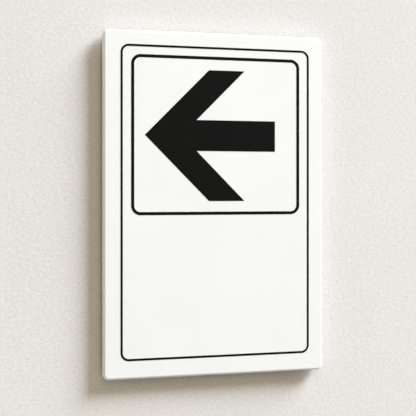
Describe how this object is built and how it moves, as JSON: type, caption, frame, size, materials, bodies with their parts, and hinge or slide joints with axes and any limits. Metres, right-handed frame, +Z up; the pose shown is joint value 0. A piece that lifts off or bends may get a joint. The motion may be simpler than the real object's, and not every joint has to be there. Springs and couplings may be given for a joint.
{
  "type": "arrow sign",
  "caption": "Rectangular wall sign plate with rounded edges, a black arrow in a frame, an outer border line and foam tape on the back.",
  "frame": {"origin": "on the wall side of the middle strip of foam tape, behind the middle of the plate", "axes": "+Z up the plate, +Y out of the back into the wall, the front looks along -Y and the arrow points to -X"},
  "size_m": [0.2, 0.0101, 0.3],
  "materials": {
    "plate": "satin white moulded plastic",
    "film": "matt black cut film",
    "tape": "pale closed-cell foam tape"
  },
  "bodies": {
    "root": {"plate": "plate", "outer_border": "film", "inner_border": "film", "arrow": "film", "tape_left": "tape", "tape_middle": "tape", "tape_right": "tape"}
  },
  "joints": []
}
